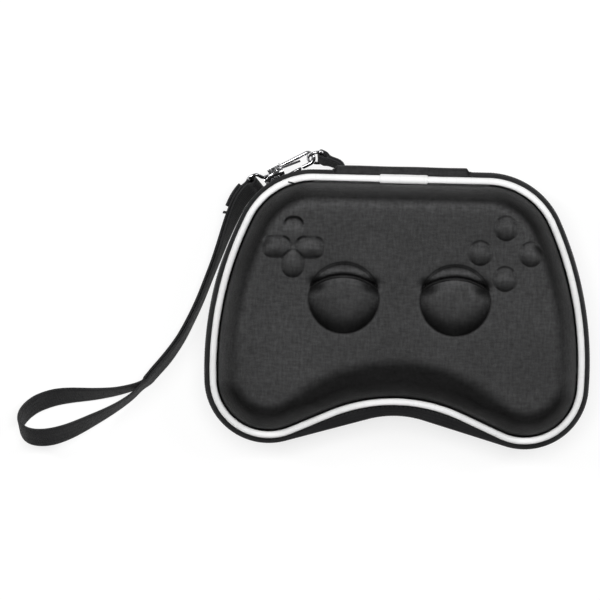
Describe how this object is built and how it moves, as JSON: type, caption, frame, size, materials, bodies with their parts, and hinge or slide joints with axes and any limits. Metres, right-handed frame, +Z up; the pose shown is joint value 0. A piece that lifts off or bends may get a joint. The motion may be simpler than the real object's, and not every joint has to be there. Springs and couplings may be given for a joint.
{
  "type": "moulded game controller carrying case",
  "caption": "Semi-rigid zipped carrying case with a moulded lid, white piping, cloth hinge, zip slider and a clip-on webbing wrist strap, lying on its back",
  "frame": {"origin": "centre of the flat back face, on the surface that the case lies on", "axes": "+X to the right across the lid as it is read, +Y towards the cloth hinge, +Z up through the lid"},
  "size_m": [0.2636, 0.1409, 0.071],
  "materials": {
    "base_laminate": "black woven cloth laminated to moulded foam",
    "lid_laminate": "black woven cloth laminated to moulded foam",
    "base_tape": "black woven zip tape",
    "lid_tape": "black woven zip tape",
    "base_teeth": "black nylon coil",
    "lid_teeth": "black nylon coil",
    "white_piping": "white satin piping",
    "white_sleeve": "white satin joint cover",
    "black_piping": "black piping",
    "lid_binding": "black binding tape",
    "base_binding": "black binding tape",
    "gusset_cloth": "black woven cloth",
    "tab_webbing": "black woven webbing",
    "ring_metal": "polished plated wire",
    "slider_metal": "polished plated casting",
    "pull_metal": "polished plated casting",
    "hook_metal": "polished plated casting",
    "gate_metal": "polished plated bar",
    "rivet_metal": "polished plated rivet",
    "eye_metal": "polished plated wire and collar",
    "strap_webbing": "black woven webbing",
    "fold_webbing": "black woven webbing"
  },
  "bodies": {
    "base": {"base_shell": "base_laminate", "base_zip_tape": "base_tape", "base_zip_teeth": "base_teeth", "base_piping": "black_piping", "base_seam_binding": "base_binding", "hinge_gusset": "gusset_cloth", "ring_tab": "tab_webbing", "d_ring": "ring_metal"},
    "lid": {"lid_shell": "lid_laminate", "lid_zip_tape": "lid_tape", "lid_zip_teeth": "lid_teeth", "lid_piping": "white_piping", "piping_sleeve": "white_sleeve", "lid_seam_binding": "lid_binding"},
    "slider": {"zip_slider": "slider_metal"},
    "pull": {"zip_pull": "pull_metal"},
    "hook": {"hook_body": "hook_metal", "gate_rivet": "rivet_metal"},
    "gate": {"hook_gate": "gate_metal"},
    "strap": {"swivel_eye": "eye_metal", "wrist_strap": "strap_webbing", "strap_fold": "fold_webbing"}
  },
  "joints": [
    {"name": "lid_hinge", "type": "hinge", "parent": "base", "child": "lid", "pos_m": [0, 0.0643, 0.034], "axis": [-1, 0, 0], "range_deg": [0, 150], "deforming": ["hinge_gusset"]},
    {"name": "slider_travel", "type": "hinge", "parent": "base", "child": "slider", "pos_m": [-0.0399, 0.0252, 0.034], "axis": [0, 0, -1], "range_deg": [0, 14]},
    {"name": "pull_swing", "type": "hinge", "parent": "slider", "child": "pull", "pos_m": [-0.05894, 0.061, 0.034], "axis": [0, 0, 1], "range_deg": [0, 170]},
    {"name": "hook_swing", "type": "hinge", "parent": "base", "child": "hook", "pos_m": [-0.0434, 0.0673, 0.022], "axis": [0, 0, -1], "range_deg": [0, 60]},
    {"name": "gate_open", "type": "hinge", "parent": "hook", "child": "gate", "pos_m": [-0.05549, 0.05778, 0.01933], "axis": [-0.1526, -0.0829, 0.9848], "range_deg": [0, 14], "stiffness_Nm_per_rad": 0.02, "springref_deg": -8.59},
    {"name": "strap_swivel", "type": "hinge", "parent": "hook", "child": "strap", "pos_m": [-0.05976, 0.05842, 0.01872], "axis": [-0.8655, -0.4699, -0.1736], "continuous": true}
  ]
}
